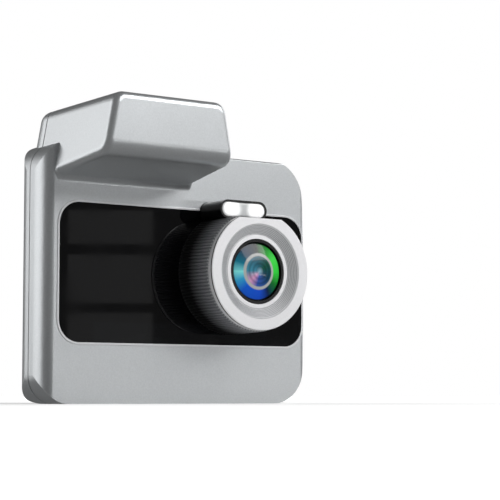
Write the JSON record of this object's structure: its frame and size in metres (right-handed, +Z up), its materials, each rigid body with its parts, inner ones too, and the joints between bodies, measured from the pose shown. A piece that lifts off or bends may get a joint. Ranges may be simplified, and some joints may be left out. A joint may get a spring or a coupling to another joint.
{
  "type": "dash camera",
  "caption": "Windscreen dash camera with a box head, knurled lens sleeve, lamp pod, gloss window, rear screen with keys, and slide-in mounting plate.",
  "frame": {"origin": "middle of the footprint, at the height of the flat base", "axes": "+Z up; the lens looks along -Y; +X is the lens side seen from the front"},
  "size_m": [0.0764, 0.0344, 0.07],
  "materials": {
    "front_shell": "satin silver moulded shell",
    "rear_cover": "satin silver moulded cover",
    "trim": "bright plated rim",
    "window": "gloss black pane",
    "sleeve": "knurled dark grey",
    "ring": "satin bright ring",
    "black_anodised": "black anodised",
    "lens_glass": "coated glass",
    "brass": "turned",
    "black_plastic": "fine grain",
    "chip": "moulded epoxy",
    "board": "solder mask",
    "screw": "zinc plated",
    "emitter": "clear cap",
    "diffuser": "milky",
    "foam": "closed-cell foam",
    "socket_metal": "plated sheet",
    "card": "moulded",
    "battery": "laminated pouch",
    "screen": "panel",
    "ribbon": "polyimide film",
    "key": "satin",
    "plate": "fine grain",
    "pad": "foam tape"
  },
  "bodies": {
    "case": {"aperture": "black_anodised", "av_socket": "black_plastic", "battery": "battery", "battery_foam": "foam", "board_screws": "screw", "card_socket": "socket_metal", "case_screws": "screw", "element_spacer": "black_anodised", "front_element": "lens_glass", "front_ring": "ring", "front_shell": "front_shell", "front_window": "window", "image_sensor": "chip", "inner_ring": "ring", "ir_filter": "lens_glass", "key_switches": "black_plastic", "lamp_board": "board", "lamp_diffuser": "diffuser", "lamp_emitters": "emitter", "lamp_housing": "black_plastic", "lens_barrel": "black_anodised", "lens_cone": "ring", "lens_mount": "black_plastic", "light_pipe": "diffuser", "lock_ring": "brass", "main_board": "board", "memory_chips": "chip", "microphone": "black_plastic", "power_switch": "black_plastic", "processor": "chip", "rear_cover": "rear_cover", "rear_element": "lens_glass", "screen_module": "screen", "screen_ribbon": "ribbon", "screen_window": "window", "second_element": "lens_glass", "sensor_board": "board", "sensor_connector": "black_plastic", "sensor_screws": "screw", "sleeve": "sleeve", "speaker": "black_plastic", "status_light": "emitter", "thermal_pad": "foam", "usb_socket": "socket_metal", "window_trim": "trim"},
    "rear_key_1": {"rear_key_1": "key"},
    "rear_key_2": {"rear_key_2": "key"},
    "rear_key_3": {"rear_key_3": "key"},
    "rear_key_4": {"rear_key_4": "key"},
    "rear_key_5": {"rear_key_5": "key"},
    "power_key": {"power_key": "key"},
    "memory_card": {"memory_card": "card"},
    "windscreen_plate": {"mount_plate": "plate", "adhesive_pad": "pad"}
  },
  "joints": [
    {"name": "rear_key_1_press", "type": "slide", "parent": "case", "child": "rear_key_1", "axis": [0, -1, 0], "range_m": [0, 0.0004], "stiffness_N_per_m": 400},
    {"name": "rear_key_2_press", "type": "slide", "parent": "case", "child": "rear_key_2", "axis": [0, -1, 0], "range_m": [0, 0.0004], "stiffness_N_per_m": 400},
    {"name": "rear_key_3_press", "type": "slide", "parent": "case", "child": "rear_key_3", "axis": [0, -1, 0], "range_m": [0, 0.0004], "stiffness_N_per_m": 400},
    {"name": "rear_key_4_press", "type": "slide", "parent": "case", "child": "rear_key_4", "axis": [0, -1, 0], "range_m": [0, 0.0004], "stiffness_N_per_m": 400},
    {"name": "rear_key_5_press", "type": "slide", "parent": "case", "child": "rear_key_5", "axis": [0, -1, 0], "range_m": [0, 0.0004], "stiffness_N_per_m": 400},
    {"name": "power_key_press", "type": "slide", "parent": "case", "child": "power_key", "axis": [-1, 0, 0], "range_m": [0, 0.0004], "stiffness_N_per_m": 400},
    {"name": "card_pull", "type": "slide", "parent": "case", "child": "memory_card", "axis": [1, 0, 0], "range_m": [0, 0.015]},
    {"name": "plate_slide", "type": "slide", "parent": "case", "child": "windscreen_plate", "axis": [1, 0, 0], "range_m": [0, 0.03]}
  ]
}
